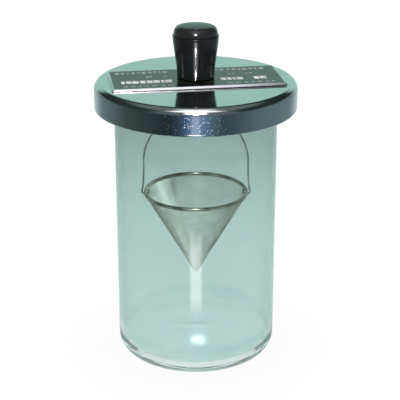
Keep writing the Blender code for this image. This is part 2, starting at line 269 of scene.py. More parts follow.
def skin(rows, ring=False, first=0):
    """Quads between rows of points that all have the same length; open ends are capped."""
    count = len(rows[0])
    faces = []
    following = [(i + 1) % count for i in range(count)]
    last = len(rows) if ring else len(rows) - 1
    for row in range(last):
        low = first + row * count
        high = first + ((row + 1) % len(rows)) * count
        faces += [(low + i, low + j, high + j, high + i) for i, j in zip(range(count), following)]
    if not ring:
        faces.append(tuple(first + i for i in reversed(range(count))))
        faces.append(tuple(first + (len(rows) - 1) * count + i for i in range(count)))
    return faces


def loft(name, rows, material, ring=False):
    vertices = np.concatenate([np.asarray(row, float) for row in rows])
    return make_object(name, vertices, skin(rows, ring), material)


def turned(name, profile, material, count, ring=False, shape=None):
    """Turn a profile of (radius, height) points round the Z axis; shape may adjust the radius."""
    angles = np.arange(count) * 2.0 * math.pi / count
    rows = []
    for radius, height in without_repeats(profile):
        radii = np.full(count, radius) if shape is None else shape(radius, height, angles)
        level = np.full(count, height)
        rows.append(np.stack([radii * np.cos(angles), radii * np.sin(angles), level], 1))
    return loft(name, rows, material, ring)


def tube_rows(path, normals, radius, sides, turn=0.0):
    """Cross-sections of a bar along a path.

    The normals are roughly across the path, and the radius is one value or one for each point.
    """
    path = np.asarray(path, float)
    along = np.gradient(path, axis=0)
    along /= np.linalg.norm(along, axis=1)[:, None]
    normals = normals - (normals * along).sum(1)[:, None] * along
    normals /= np.linalg.norm(normals, axis=1)[:, None]
    across = np.cross(along, normals)
    angles = turn + np.arange(sides) * 2.0 * math.pi / sides
    radius = np.broadcast_to(radius, (len(path),))
    rows = []
    for centre, normal, side, size in zip(path, normals, across, radius):
        rows.append(centre + size * (np.cos(angles)[:, None] * normal + np.sin(angles)[:, None] * side))
    return rows


# ---------------------------------------------------------------- materials


class Shader:
    """A Principled material and the few texture nodes that the looks here are made of."""

    def __init__(self, name, color, metallic, **sockets):
        self.material = bpy.data.materials.new(name)
        self.material.use_nodes = True
        self.tree = self.material.node_tree
        self.surface = self.tree.nodes["Principled BSDF"]
        self.surface.inputs["Base Color"].default_value = (*color, 1.0)
        self.surface.inputs["Metallic"].default_value = metallic
        for socket, value in sockets.items():
            self.surface.inputs[socket.replace("_", " ")].default_value = value
        self.place = self.node("ShaderNodeTexCoord").outputs["Object"]

    def node(self, kind, **settings):
        made = self.tree.nodes.new(kind)
        for key, value in settings.items():
            setattr(made, key, value)
        return made

    def link(self, source, target):
        self.tree.links.new(source, target)

    def axes(self):
        """The x, y and z of the object coordinates."""
        split = self.node("ShaderNodeSeparateXYZ")
        self.link(self.place, split.inputs[0])
        return split.outputs

    def stretched(self, scale):
        """Object coordinates scaled by a different amount on each axis."""
        mapping = self.node("ShaderNodeMapping")
        mapping.inputs["Scale"].default_value = scale
        self.link(self.place, mapping.inputs["Vector"])
        return mapping.outputs["Vector"]

    def noise(self, scale, detail=3.0, roughness=0.5, vector=None):
        texture = self.node("ShaderNodeTexNoise")
        texture.inputs["Scale"].default_value = scale
        texture.inputs["Detail"].default_value = detail
        texture.inputs["Roughness"].default_value = roughness
        self.link(vector or self.place, texture.inputs["Vector"])
        return texture.outputs["Fac"]

    def cells(self, scale, vector=None):
        texture = self.node("ShaderNodeTexVoronoi")
        texture.inputs["Scale"].default_value = scale
        self.link(vector or self.place, texture.inputs["Vector"])
        return texture.outputs["Distance"]

    def ranged(self, value, low, high, to_low, to_high):
        """Map low..high of a value to to_low..to_high, held at both ends."""
        mapped = self.node("ShaderNodeMapRange")
        mapped.inputs["From Min"].default_value = low
        mapped.inputs["From Max"].default_value = high
        mapped.inputs["To Min"].default_value = to_low
        mapped.inputs["To Max"].default_value = to_high
        self.link(value, mapped.inputs["Value"])
        return mapped.outputs["Result"]

    def sum(self, first, second, share):
        """first + share * second."""
        added = self.node("ShaderNodeMath", operation="MULTIPLY_ADD")
        self.link(second, added.inputs[0])
        added.inputs[1].default_value = share
        self.link(first, added.inputs[2])
        return added.outputs[0]

    def product(self, first, second):
        """first * second."""
        made = self.node("ShaderNodeMath", operation="MULTIPLY")
        self.link(first, made.inputs[0])
        self.link(second, made.inputs[1])
        return made.outputs[0]

    def color(self, value, stops):
        """Base colour from a value through a colour ramp of (position, colour) stops."""
        ramp = self.node("ShaderNodeValToRGB")
        elements = ramp.color_ramp.elements
        while len(elements) < len(stops):
            elements.new(0.5)
        for element, (position, color) in zip(elements, stops):
            element.position = position
            element.color = (*color, 1.0)
        self.link(value, ramp.inputs["Fac"])
        self.link(ramp.outputs["Color"], self.surface.inputs["Base Color"])

    def roughness(self, value, low, high, to_low, to_high):
        self.link(self.ranged(value, low, high, to_low, to_high), self.surface.inputs["Roughness"])

    def bump(self, height, depth, strength=1.0):
        node = self.node("ShaderNodeBump")
        node.inputs["Strength"].default_value = strength
        node.inputs["Distance"].default_value = depth
        self.link(height, node.inputs["Height"])
        self.link(node.outputs["Normal"], self.surface.inputs["Normal"])


def clear_glass():
    """Glass whose tint darkens upwards: painted shade under the lid.

    Above the foot the outer face has all the tint, so that the edge of the wall is as dark as the middle.
    """
    s = Shader("glass_look", (0.70, 0.83, 0.80), 0.0, Transmission_Weight=1.0, IOR=1.47)
    height = s.axes()["Z"]
    from_axis = s.node("ShaderNodeVectorMath", operation="LENGTH")
    s.link(s.stretched((1.0, 1.0, 0.0)), from_axis.inputs[0])
    inside = s.ranged(from_axis.outputs["Value"], GLASS_INSIDE, GLASS_INSIDE + 1.0 * MM, 1.0, 0.0)
    inner = s.product(inside, s.ranged(height, TINT_FOOT, TINT_FOOT + 10.0 * MM, 0.0, 1.0))
    outer = s.ranged(inner, 0.0, 1.0, 1.0, 0.0)
    # Height ramp: the glass's own tint, deepened upwards as painted shade under the lid.
    rise = s.ranged(height, 0.0, PAINTED_SHADE_TOP, 0.1, 1.0)
    drift = s.ranged(s.noise(22.0, 3.0), 0.2, 0.8, -0.5, 0.5)
    s.color(s.product(s.sum(rise, drift, 0.07), outer), [
        (0.0, (1.0, 1.0, 1.0)),
        (0.10, (0.71, 0.835, 0.816)),
        (0.16, (0.705, 0.827, 0.809)),
        (0.21, (0.483, 0.672, 0.640)),
        (0.415, (0.445, 0.624, 0.596)),
        (0.64, (0.360, 0.523, 0.488)),
        (0.82, (0.262, 0.388, 0.359)),
        (0.955, (0.200, 0.300, 0.275)),
    ])
    s.roughness(s.noise(70.0, 5.0, 0.6), 0.52, 0.75, 0.0, 0.05)
    s.bump(s.noise(30.0, 1.0, vector=s.stretched((1.0, 1.0, 0.35))), 0.12 * MM, 0.5)
    return s.material


def chrome():
    """Polished plating, dulled by small specks that lie mostly at the middle of the skirt."""
    s = Shader("chrome_look", (0.79, 0.81, 0.81), 1.0)
    wear = s.noise(40.0, 5.0, 0.6)
    s.color(wear, [(0.3, (0.74, 0.77, 0.77)), (0.6, (0.81, 0.83, 0.83))])
    axes = s.axes()
    skirt = s.ranged(axes["Z"], SPECK_TOP, SPECK_TOP - 2.0 * MM, 0.12, 1.0)
    aside = s.node("ShaderNodeMath", operation="ABSOLUTE")
    s.link(axes["X"], aside.inputs[0])
    crowd = s.ranged(aside.outputs[0], SPECK_CROWD, SPECK_THIN, 1.0, 0.3)
    spots = s.ranged(s.cells(760.0), 0.10, 0.32, 1.0, 0.0)
    patches = s.ranged(s.noise(150.0, 2.0), 0.40, 0.48, 0.0, 1.0)
    specks = s.product(s.product(spots, patches), s.product(skirt, crowd))
    s.link(s.sum(s.ranged(wear, 0.35, 0.75, 0.05, 0.14), specks, 0.42), s.surface.inputs["Roughness"])
    s.bump(s.sum(s.noise(28.0, 1.0), specks, -0.5), 0.10 * MM, 0.6)
    return s.material


def plate_metal():
    s = Shader("plate_metal_look", (0.72, 0.73, 0.72), 1.0)
    brushed = s.noise(60.0, 6.0, 0.65, vector=s.stretched((1.0, 12.0, 12.0)))
    s.color(brushed, [(0.3, (0.62, 0.64, 0.63)), (0.7, (0.78, 0.79, 0.79))])
    s.roughness(brushed, 0.3, 0.7, 0.12, 0.24)
    s.bump(brushed, 0.02 * MM, 0.4)
    return s.material


def plate_enamel():
    s = Shader("plate_enamel_look", (0.010, 0.013, 0.010), 0.0, IOR=1.7)
    mottle = s.noise(90.0, 6.0, 0.65)
    s.color(mottle, [(0.35, (0.004, 0.006, 0.004)), (0.75, (0.020, 0.026, 0.018))])
    s.roughness(mottle, 0.3, 0.75, 0.06, 0.20)
    s.bump(s.noise(300.0, 4.0), 0.02 * MM, 0.35)
    return s.material


def plate_print(name, dark, light):
    s = Shader(name, light, 0.0)
    worn = s.noise(260.0, 5.0, 0.7)
    s.color(worn, [(0.32, dark), (0.55, light)])
    s.roughness(worn, 0.3, 0.7, 0.30, 0.50)
    s.bump(worn, 0.02 * MM, 0.5)
    return s.material


def black_plastic(name, base, rough):
    s = Shader(name, base, 0.0, IOR=1.5)
    rub = s.noise(60.0, 6.0, 0.65, vector=s.stretched((1.0, 1.0, 0.25)))
    s.color(rub, [(0.35, base), (0.8, tuple(2.2 * c for c in base))])
    s.roughness(rub, 0.3, 0.75, rough, rough + 0.08)
    s.bump(s.noise(70.0, 2.0), 0.02 * MM, 0.2)
    return s.material


def steel(name, dark, light, rough, grain):
    s = Shader(name, light, 1.0)
    stain = s.noise(grain, 5.0, 0.6)
    s.color(stain, [(0.3, dark), (0.65, light)])
    s.roughness(stain, 0.3, 0.75, rough, rough + 0.15)
    s.bump(s.noise(grain * 6.0, 4.0), 0.03 * MM, 0.4)
    return s.material


def rubber(name, base):
    s = Shader(name, base, 0.0)
    bloom = s.noise(80.0, 6.0, 0.7)
    s.color(bloom, [(0.35, base), (0.75, tuple(min(0.8, 1.8 * c) for c in base))])
    s.roughness(bloom, 0.3, 0.7, 0.55, 0.8)
    s.bump(s.noise(700.0, 3.0), 0.04 * MM, 0.5)
    return s.material


def pale_floor():
    s = Shader("floor_look", (0.93, 0.93, 0.93), 0.0)
    s.surface.inputs["Roughness"].default_value = 0.9
    s.surface.inputs["Specular IOR Level"].default_value = 0.0
    return s.material


# ---------------------------------------------------------------- pieces


def show(piece, body, node):
    """Let a piece stand for a CAD node: hide the node and put the piece on that node's body."""
    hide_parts(node)
    add(piece, body)


def add(piece, body):
    """Put a further piece on a body."""
    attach(piece, body)


def build_jar():
    low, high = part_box("glass_jar")
    top = high.z
    radius = high.x - LIP_OVERHANG
    inner = radius - WALL
    foot = radius - FOOT_CORNER
    lip_under = top - LIP_HEIGHT
    flare_start = lip_under - NECK_FLARE
    lip_in = high.x - LIP_ROUND
    profile = [(POLE, PUSH_UP)]
    profile += bezier(
        (0.2 * FOOT_INNER, PUSH_UP),
        (0.5 * FOOT_INNER, PUSH_UP),
        (0.7 * FOOT_INNER, low.z),
        (FOOT_INNER + 3.0 * MM, low.z),
        24,
    )
    profile += arc((foot, FOOT_CORNER), FOOT_CORNER, -90.0, 0.0, 20)
    profile += [(radius, FOOT_CORNER + STRAIGHT), (radius, flare_start - STRAIGHT)]
    profile += arc((radius + NECK_FLARE, flare_start), NECK_FLARE, 180.0, 100.0, 14)
    profile += arc((lip_in, lip_under + LIP_ROUND), LIP_ROUND, -90.0, 0.0, 8)
    profile += arc((lip_in, top - LIP_ROUND), LIP_ROUND, 0.0, 90.0, 8)
    profile += arc((inner + MOUTH_ROUND, top - MOUTH_ROUND), MOUTH_ROUND, 90.0, 180.0, 10)
    inner_foot = (inner - INNER_CORNER, FLOOR_THICK + INNER_CORNER)
    profile += [(inner, top - MOUTH_ROUND - STRAIGHT), (inner, inner_foot[1] + STRAIGHT)]
    profile += arc(inner_foot, INNER_CORNER, 0.0, -90.0, 18)
    profile += [(inner_foot[0] - STRAIGHT, FLOOR_THICK), (POLE, FLOOR_THICK)]
    jar = turned("jar_glass", profile, clear_glass(), ROUND_LARGE)
    jar.visible_shadow = False
    jar.visible_diffuse = False
    show(jar, "jar", "glass_jar")


def build_lid():
    low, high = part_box("lid_cover")
    top = high.z
    radius = high.x
    corner = (radius - LID_EDGE, top - LID_EDGE)
    curl = (radius - LID_CURL, low.z + LID_CURL)
    inside = radius - LID_SHEET
    profile = [(STUD_HOLE, top - 0.15 * MM), (STUD_HOLE + 0.15 * MM, top)]
    profile += arc(corner, LID_EDGE, 90.0, 0.0, 20)
    profile.append((radius, curl[1] + STRAIGHT))
    profile += arc(curl, LID_CURL, 0.0, -180.0, 14)
    profile.append((radius - 2.0 * LID_CURL, curl[1] + 0.6 * LID_CURL))
    profile.append((inside - 0.35 * MM, curl[1] + 1.3 * LID_CURL))
    profile.append((inside, curl[1] + 2.2 * LID_CURL))
    profile += arc(corner, LID_EDGE - LID_SHEET, 0.0, 90.0, 14)
    profile += [(STUD_HOLE + 0.15 * MM, top - LID_SHEET), (STUD_HOLE, top - LID_SHEET + 0.15 * MM)]
    lid = turned("lid_shell", profile, chrome(), 256, ring=True)
    show(lid, "lid", "lid_cover")


def build_seal():
    low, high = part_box("lid_seal")
    outer = high.x
    face = low.z + SEAL_RIB
    profile = [(SEAL_INNER, high.z), (SEAL_INNER, face)]
    for centre in SEAL_RIBS:
        profile.append((centre - 0.8 * MM, face))
        profile += arc((centre, low.z + 0.8 * SEAL_RIB), 0.8 * SEAL_RIB, 180.0, 360.0, 8)
        profile.append((centre + 0.8 * MM, face))
    profile += [(outer - 0.3 * MM, face), (outer, face + SEAL_RIB), (outer, high.z)]
    look = rubber("seal_look", (0.66, 0.68, 0.66))
    seal = turned("seal_ring", profile, look, ROUND_LARGE, ring=True)
    show(seal, "seal", "lid_seal")


def plate_loop(half_length, half_width, corner, height):
    """A rounded rectangle in the plate's own turn."""
    points = []
    for x_sign, y_sign, start in ((1, 1, 0.0), (-1, 1, 90.0), (-1, -1, 180.0), (1, -1, 270.0)):
        centre = (x_sign * (half_length - corner), y_sign * (half_width - corner))
        points += arc(centre, corner, start, start + 90.0, 5)
    x, y = np.array(points).T
    c, s = math.cos(PLATE_TURN), math.sin(PLATE_TURN)
    return np.stack([c * x - s * y, s * x + c * y, np.full(len(points), height)], 1)


def hole_loop(outline, radius, height):
    """A circle whose points lie in the same directions as those of an outline."""
    x, y = outline[:, :2].T
    scale = radius / np.hypot(x, y)
    return np.stack([x * scale, y * scale, np.full(len(outline), height)], 1)


def plate_blocks(name, blocks, low, high, material):
    """Flat marks on the plate, each given as (centre along, centre across, length, width)."""
    vertices = []
    faces = []
    c, s = math.cos(PLATE_TURN), math.sin(PLATE_TURN)
    for along, across, length, width in blocks:
        rows = []
        for height, trim in ((low, 0.0), (high - 0.01 * MM, 0.0), (high, 0.03 * MM)):
            row = []
            for x_sign, y_sign in ((-1, -1), (1, -1), (1, 1), (-1, 1)):
                x = along + x_sign * (length / 2.0 - trim)
                y = across + y_sign * (width / 2.0 - trim)
                row.append((c * x - s * y, s * x + c * y, height))
            rows.append(row)
        faces += skin(rows, first=len(vertices))
        vertices += [point for row in rows for point in row]
    return make_object(name, vertices, faces, material)


def mark_row(rng, start, end, kind):
    """A row of marks of uneven length between two ends."""
    across, width, lengths, gaps = kind
    marks = []
    place = start
    while True:
        length = rng.uniform(*lengths)
        if place + length > end:
            return marks
        marks.append((place + length / 2.0, across, length, width * rng.uniform(0.85, 1.0)))
        place += length + rng.uniform(*gaps)


def build_plate():
    low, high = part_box("name_plate")
    top = high.z
    half_length = PLATE_LENGTH / 2.0
    half_width = PLATE_WIDTH / 2.0
    face = top - ENAMEL_PROUD - MARK_PROUD
    under = plate_loop(half_length, half_width, PLATE_CORNER, low.z)
    edge = plate_loop(half_length, half_width, PLATE_CORNER, low.z + PLATE_FOOT)
    bevel_corner = PLATE_CORNER - 0.4 * MM
    ledge = plate_loop(half_length - PLATE_BEVEL, half_width - PLATE_BEVEL, bevel_corner, face)
    rows = [hole_loop(under, STUD_HOLE, low.z), under, edge, ledge, hole_loop(ledge, STUD_HOLE, face)]
    plate = loft("plate_base", rows, plate_metal(), ring=True)
    show(plate, "lid", "name_plate")

    enamel_top = face + ENAMEL_PROUD
    half_length -= ENAMEL_MARGIN
    half_width -= ENAMEL_MARGIN
    outline = plate_loop(half_length, half_width, PLATE_CORNER, face)
    inset = plate_loop(half_length - 0.03 * MM, half_width - 0.03 * MM, PLATE_CORNER, enamel_top)
    clear = KNOB_BASE_RADIUS - 1.0 * MM
    inner_edge = hole_loop(outline, clear, face + 0.002 * MM)
    rows = [inner_edge, outline, inset, hole_loop(inset, clear, enamel_top)]
    add(loft("plate_enamel", rows, plate_enamel(), ring=True), "lid")
    build_marks(enamel_top - 0.01 * MM, top)


def build_marks(low, high):
    """Rows of plain blocks where the plate has its print."""
    rng = np.random.default_rng(MARK_SEED)
    fine = []
    bold = []
    for start, end in LONG_SPANS:
        fine += mark_row(rng, start, end, TOP_MARKS)
        fine += mark_row(rng, start + FOOT_INDENT, end, FOOT_MARKS)
    for start, end in SMALL_SPANS:
        fine += mark_row(rng, start, end, SMALL_MARKS)
    for start, end in BOLD_SPANS:
        bold += mark_row(rng, start, end, BOLD_MARKS)
    pale = plate_print("print_bold_look", (0.30, 0.34, 0.31), (0.72, 0.76, 0.73))
    dull = plate_print("print_fine_look", (0.09, 0.11, 0.095), (0.34, 0.39, 0.355))
    add(plate_blocks("plate_marks_bold", bold, low, high, pale), "lid")
    add(plate_blocks("plate_marks_fine", fine, low, high, dull), "lid")


def build_knob():
    low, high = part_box("knob_body")
    ledge = high.z
    base = low.z
    lid_top = ledge - KNOB_LEDGE
    insert_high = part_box("knob_insert")[1]
    bore = insert_high.x + 0.1 * MM
    bore_top = insert_high.z + 0.2 * MM
    foot_round = 0.7 * MM
    lip_round = 0.35 * MM
    lip_chamfer = 0.2 * MM
    pocket_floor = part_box("knob_cap")[0].z - 0.3 * MM
    profile = [(bore, base)]
    profile += arc((KNOB_BASE_RADIUS - foot_round, base + foot_round), foot_round, -90.0, 0.0, 5)
    profile += bezier(
        (KNOB_BASE_RADIUS, base + foot_round),
        (KNOB_BASE_RADIUS, lid_top + 10.0 * MM),
        (KNOB_BASE_RADIUS + 1.8 * MM, lid_top + 16.5 * MM),
        (KNOB_RIM_RADIUS, ledge - lip_round),
        28,
    )
    profile += arc((KNOB_RIM_RADIUS - lip_round, ledge - lip_round), lip_round, 0.0, 90.0, 5)
    profile += [(KNOB_POCKET + lip_chamfer, ledge), (KNOB_POCKET, ledge - lip_chamfer)]
    profile += [(KNOB_POCKET, pocket_floor), (STUD_HOLE, pocket_floor)]
    profile += [(STUD_HOLE, bore_top), (bore, bore_top)]
    look = black_plastic("knob_look", (0.010, 0.011, 0.012), 0.08)
    body = turned("knob_grip", profile, look, ROUND_MEDIUM, ring=True)
    show(body, "lid", "knob_body")


def build_cap():
    low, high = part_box("knob_cap")
    side_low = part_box("knob_body")[1].z + 0.15 * MM
    spigot = KNOB_POCKET - 0.3 * MM
    spigot_chamfer = 0.3 * MM
    side_chamfer = 0.25 * MM
    pole = 0.4 * MM
    face = high.z - CAP_DOME
    radius = high.x
    profile = [(pole, low.z), (spigot - spigot_chamfer, low.z), (spigot, low.z + spigot_chamfer)]
    profile += [(spigot, side_low), (radius - side_chamfer, side_low), (radius, side_low + side_chamfer)]
    profile += bezier(
        (radius, side_low + 1.2 * MM),
        (radius, side_low + 3.3 * MM),
        (CAP_FACE_RADIUS + 2.0 * MM, face - 0.3 * MM),
        (CAP_FACE_RADIUS, face),
        16,
    )
    for share in (0.85, 0.65, 0.45, 0.25, 0.04):
        profile.append((CAP_FACE_RADIUS * share, face + CAP_DOME * (1.0 - share * share)))
    look = black_plastic("cap_look", (0.012, 0.014, 0.014), 0.12)
    cap = turned("knob_top", profile, look, ROUND_MEDIUM)
    show(cap, "lid", "knob_cap")


def build_insert():
    low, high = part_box("knob_insert")
    radius = high.x
    bore = THREAD_BORE
    cut = 0.3 * MM
    profile = [(bore + cut, low.z), (radius - cut, low.z), (radius, low.z + cut)]
    grooves = 6
    margin = 0.6 * MM
    step = (high.z - low.z - 2.0 * margin) / grooves
    for index in range(grooves):
        start = low.z + margin + index * step
        profile += [(radius, start), (radius - cut, start + 0.25 * step)]
        profile += [(radius - cut, start + 0.5 * step), (radius, start + 0.75 * step)]
    profile += [(radius, high.z - cut), (radius - cut, high.z), (bore + cut, high.z)]
    profile += [(bore, high.z - cut), (bore, low.z + cut)]
    brass = steel("brass_look", (0.55, 0.40, 0.18), (0.74, 0.58, 0.30), 0.22, 120.0)
    insert = turned("thread_insert", profile, brass, ROUND_SMALL, ring=True)
    show(insert, "lid", "knob_insert")


def build_washers(metal):
    cut = 0.1 * MM
    soft = rubber("washer_look", (0.11, 0.11, 0.11))
    for name, node, slot, material, rounding in (
        ("stud_washer_soft", "stud_seal", "washer_rubber", soft, 0.35 * MM),
        ("stud_washer_steel", "hanger_washer", "hanger_steel", metal, 0.2 * MM),
    ):
        low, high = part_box(node)
        outer = high.x - rounding
        profile = [(STUD_HOLE, high.z - cut), (STUD_HOLE, low.z + cut), (STUD_HOLE + cut, low.z)]
        profile += arc((outer, low.z + rounding), rounding, -90.0, 0.0, 5)
        profile += arc((outer, high.z - rounding), rounding, 0.0, 90.0, 5)
        profile.append((STUD_HOLE + cut, high.z))
        show(turned(name, profile, material, ROUND_MEDIUM, ring=True), "lid", node)


def build_nut(metal):
    low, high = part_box("hanger_nut")
    chamfer_radius = NUT_FLATS / 2.0 - 0.1 * MM
    slope = math.tan(math.radians(30.0))
    sixth = math.radians(60.0)

    def hexagon(radius, height, angles):
        if radius < THREAD_RADIUS + 1.0 * MM:
            return np.full(len(angles), radius)
        flat = NUT_FLATS / 2.0 / np.cos((angles + sixth / 2.0) % sixth - sixth / 2.0)
        depth = min(height - low.z, high.z - height)
        return np.minimum(flat, chamfer_radius + depth / slope)

    bore = THREAD_RADIUS + 0.15 * MM
    levels = [low.z + depth for depth in (0.0, 0.12 * MM, 0.24 * MM, 0.4 * MM)]
    levels += [high.z + low.z - level for level in reversed(levels)]
    profile = [(bore, high.z - 0.3 * MM), (bore, low.z + 0.3 * MM), (bore + 0.3 * MM, low.z)]
    profile += [(NUT_FLATS / 2.0, level) for level in levels]
    profile.append((bore + 0.3 * MM, high.z))
    nut = turned("stud_nut", profile, metal, ROUND_MEDIUM, ring=True, shape=hexagon)
    show(nut, "lid", "hanger_nut")


def build_hook(metal):
    """The stud with its screw thread, bent into a hook below."""
    low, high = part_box("hanger_hook")
    centre = low.z + HOOK_BOWL + ROD_RADIUS
    shank_end = centre + HOOK_SHANK
    start = math.radians(HOOK_START)
    lead = 1.7 * MM
    join = (HOOK_BOWL * math.cos(start), centre + HOOK_BOWL * math.sin(start))
    before = (join[0] - lead * math.sin(start), join[1] + lead * math.cos(start))
    heights = np.arange(high.z, THREAD_BOTTOM, -THREAD_PITCH / 8.0)
    flat = [(0.0, z) for z in heights]
    flat += bezier((0.0, shank_end), (0.0, shank_end - 2.4 * MM), before, join, 12)
    flat += arc((0.0, centre), HOOK_BOWL, HOOK_START, HOOK_END, 44)[1:]
    path = np.array([(0.0, y, z) for y, z in flat])
    across = np.tile((1.0, 0.0, 0.0), (len(path), 1))
    sides = 24
    angles = np.arange(sides) * 2.0 * math.pi / sides
    run_out = 0.8 * MM
    rows = tube_rows(path, across, 1.0, sides)
    for index, row in enumerate(rows):
        middle = path[index]
        if index < len(heights):
            turn = (middle[2] / THREAD_PITCH + angles / (2.0 * math.pi)) % 1.0
            end = min(1.0, (high.z - middle[2]) / run_out)
            size = THREAD_RADIUS - THREAD_DEPTH * (1.0 - end) - THREAD_DEPTH * np.abs(2.0 * turn - 1.0)
            rows[index] = middle + (row - middle) * size[:, None]
        else:
            left = len(rows) - 1 - index
            tip = HOOK_TIP[left] if left < len(HOOK_TIP) else 1.0
            rows[index] = middle + (row - middle) * ROD_RADIUS * tip
    hook = loft("hanger_rod", rows, metal)
    show(hook, "lid", "hanger_hook")


def build_bail():
    rim_low, rim_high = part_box("basket_rim")
    arch_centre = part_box("bail_handle")[1].z - BAIL_WIRE - BAIL_ARCH_RADIUS
    start = math.radians(BAIL_EYE_START)
    centre = (rim_high.x - RIM_WIDTH / 2.0, (rim_low.z + rim_high.z) / 2.0)
    join = (centre[0] + BAIL_EYE * math.cos(start), centre[1] + BAIL_EYE * math.sin(start))
    lead = 3.0 * MM
    before_join = (join[0] - lead * math.sin(start), join[1] + lead * math.cos(start))
    half = arc((0.0, arch_centre), BAIL_ARCH_RADIUS, 90.0, 0.0, 48)
    leg_start = (BAIL_ARCH_RADIUS, arch_centre)
    leg_bend = (BAIL_ARCH_RADIUS, arch_centre - 8.0 * MM)
    half += bezier(leg_start, leg_bend, before_join, join, 16)
    half += arc(centre, BAIL_EYE, BAIL_EYE_START, BAIL_EYE_END, 40)
    half = without_repeats(half)
    path = [(-x, 0.0, z) for x, z in reversed(half)] + [(x, 0.0, z) for x, z in half[1:]]
    across = np.tile((0.0, 1.0, 0.0), (len(path), 1))
    radius = np.full(len(path), BAIL_WIRE)
    radius[[0, -1]] *= 0.7
    radius[[1, -2]] *= 0.95
    look = steel("bail_look", (0.22, 0.23, 0.20), (0.46, 0.47, 0.43), 0.18, 160.0)
    bail = loft("bail_wire_loop", tube_rows(path, across, radius, 16), look)
    show(bail, "bail", "bail_handle")


def build_rim():
    low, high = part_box("basket_rim")
    crown = RIM_WIDTH / 2.0
    outer = high.x
    middle = outer - crown
    inner = middle - crown
    slot_in = MESH_RADIUS - MESH_SLOT
    slot_out = MESH_RADIUS + MESH_SLOT
    slot_top = low.z + RIM_SLOT_DEPTH
    profile = [(slot_in, low.z)]
    profile += arc((inner + RIM_INNER_ROUND, low.z + RIM_INNER_ROUND), RIM_INNER_ROUND, 270.0, 180.0, 4)
    profile += arc((middle, high.z - crown), crown, 180.0, 0.0, 16)
    profile += arc((outer - RIM_OUTER_ROUND, low.z + RIM_OUTER_ROUND), RIM_OUTER_ROUND, 0.0, -90.0, 6)
    profile += [(slot_out, low.z), (slot_out, slot_top), (slot_in, slot_top)]
    lap_half = 0.10
    lap_height = 0.08 * MM
    lap_edge = 160.0
    slack = 0.05 * MM

    def crimped(radius, height, angles):
        """Hand-rolled tube: shallow dents along it and a thicker place where its ends lap."""
        away = (angles - RIM_LAP + math.pi) % (2.0 * math.pi) - math.pi
        side = (radius - middle) / crown
        lapped = lap_height / (1.0 + np.exp((np.abs(away) - lap_half) * lap_edge))
        dents = 0.03 * MM * np.sin(23.0 * angles) + 0.02 * MM * np.sin(41.0 * angles + 1.3)
        return radius + side * (dents + lapped - slack)

    look = steel("rim_look", (0.10, 0.10, 0.075), (0.48, 0.46, 0.38), 0.12, 110.0)
    rim = turned("rim_band", profile, look, ROUND_LARGE, ring=True, shape=crimped)
    show(rim, "basket", "basket_rim")


def build_weave():
    """Square-woven wire cut as a half disc, rolled into a cone with a lapped seam."""
    low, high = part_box("basket_mesh")
    rim_low, rim_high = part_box("basket_rim")
    tip = low.z + 0.2 * MM
    collar = rim_low.z - 0.3 * MM
    height = collar - tip
    slant = math.hypot(MESH_RADIUS, height)
    sector = 2.0 * math.pi * MESH_RADIUS / slant
    whole = sector + WEAVE_LAP / slant
    first = (math.pi - whole) / 2.0
    lap_start = sector - (whole - sector) / 3.0
    rise = high.z - collar
    outward = np.array((height / slant, -MESH_RADIUS / slant))
    eye_low = (rim_low.z + rim_high.z) / 2.0 - BAIL_EYE - BAIL_WIRE - EYE_PLAY

    def placed(u, v, lift):
        """Point and outward normal on the cone for a place on the flat cloth, or None off the cloth."""
        far = math.hypot(u, v)
        angle = math.atan2(v, u)
        if angle < -math.pi / 2.0:
            angle += 2.0 * math.pi
        turn = angle - first
        if far < WEAVE_TIP_HOLE or far > slant + rise or not 0.0 <= turn <= whole:
            return None
        lap = min(1.0, max(0.0, (turn - lap_start) / (sector - lap_start)))
        lift = lift + WEAVE_LAP_LIFT * lap * min(1.0, far / WEAVE_LAP_FADE)
        azimuth = WEAVE_SEAM + turn * 2.0 * math.pi / sector
        along = min(far, slant)
        radius = MESH_RADIUS * along / slant
        z = tip + height * along / slant
        tilt = outward
        if far > slant:
            z += far - slant
            tilt = np.array((1.0, 0.0))
        radius += lift * tilt[0]
        z += lift * tilt[1]
        c, s = math.cos(azimuth), math.sin(azimuth)
        if abs(radius * s) < EYE_OPENING and eye_low < z < rim_low.z:
            return None
        return (radius * c, radius * s, z), (tilt[0] * c, tilt[0] * s, tilt[1])

    vertices = []
    faces = []
    reach = int((slant + rise) / WEAVE_PITCH) + 1

    def finish_run(run):
        """Turn a run of places along one wire into a bar."""
        if len(run) > 1:
            points = np.array([point for point, normal in run])
            normals = np.array([normal for point, normal in run])
            rows = tube_rows(points, normals, WEAVE_WIRE, 4)
            faces.extend(skin(rows, first=len(vertices)))
            vertices.extend(point for row in rows for point in row)

    for along_u in (True, False):
        for line in range(-reach, reach + 1):
            run = []
            for step in range(-reach, reach + 1):
                lift = WEAVE_CRIMP if (line + step) % 2 else -WEAVE_CRIMP
                offset = (line + 0.5) * WEAVE_PITCH
                travel = (step + 0.5) * WEAVE_PITCH
                spot = placed(travel, offset, lift) if along_u else placed(offset, travel, -lift)
                if spot is None:
                    finish_run(run)
                    run = []
                else:
                    run.append(spot)
            finish_run(run)
    look = steel("weave_look", (0.27, 0.28, 0.23), (0.57, 0.57, 0.50), 0.34, 90.0)
    weave = make_object("basket_weave", vertices, faces, look)
    show(weave, "basket", "basket_mesh")


# ---------------------------------------------------------------- stage


